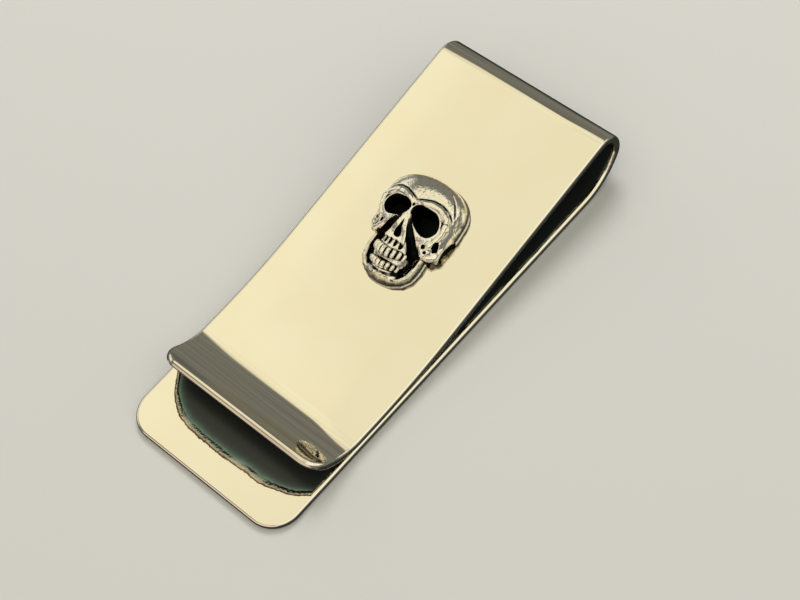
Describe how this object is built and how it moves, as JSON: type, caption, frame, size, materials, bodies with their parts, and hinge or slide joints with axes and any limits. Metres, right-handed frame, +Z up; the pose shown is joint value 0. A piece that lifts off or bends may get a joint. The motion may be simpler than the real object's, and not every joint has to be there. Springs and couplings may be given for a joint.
{
  "type": "money clip",
  "caption": "Spring money clip bent from one polished silver strip, with a curled finger lip and a cast skull soldered to the front leaf.",
  "frame": {"origin": "middle of the clip's box in plan, on the underside of the back plate, which is the surface that the clip lies on", "axes": "+X along the strip from the fold to the open end, +Y across the strip, +Z up out of the front leaf"},
  "size_m": [0.0604, 0.025, 0.0086],
  "materials": {
    "polished_silver": "mirror-polished sterling silver, fine wear marks, softly rounded edges",
    "oxidised_silver": "cast sterling silver, polished on the high spots, blackened in the recesses",
    "silver_solder": "dulled silver solder line"
  },
  "bodies": {
    "base": {"back_plate": "polished_silver", "heel_curve": "polished_silver", "spring_fold": "polished_silver"},
    "leaf": {"front_leaf": "polished_silver", "finger_lip": "polished_silver", "solder_seam": "silver_solder", "skull_cranium": "oxidised_silver", "skull_jaw": "oxidised_silver", "skull_upper_teeth": "oxidised_silver", "skull_lower_teeth": "oxidised_silver"}
  },
  "joints": [
    {"name": "leaf_flex", "type": "hinge", "parent": "base", "child": "leaf", "pos_m": [-0.02745, 0, 0.00491], "axis": [0, -1, 0], "range_deg": [0, 8], "stiffness_Nm_per_rad": 3.8, "springref_deg": -1.15, "deforming": ["spring_fold"]}
  ]
}
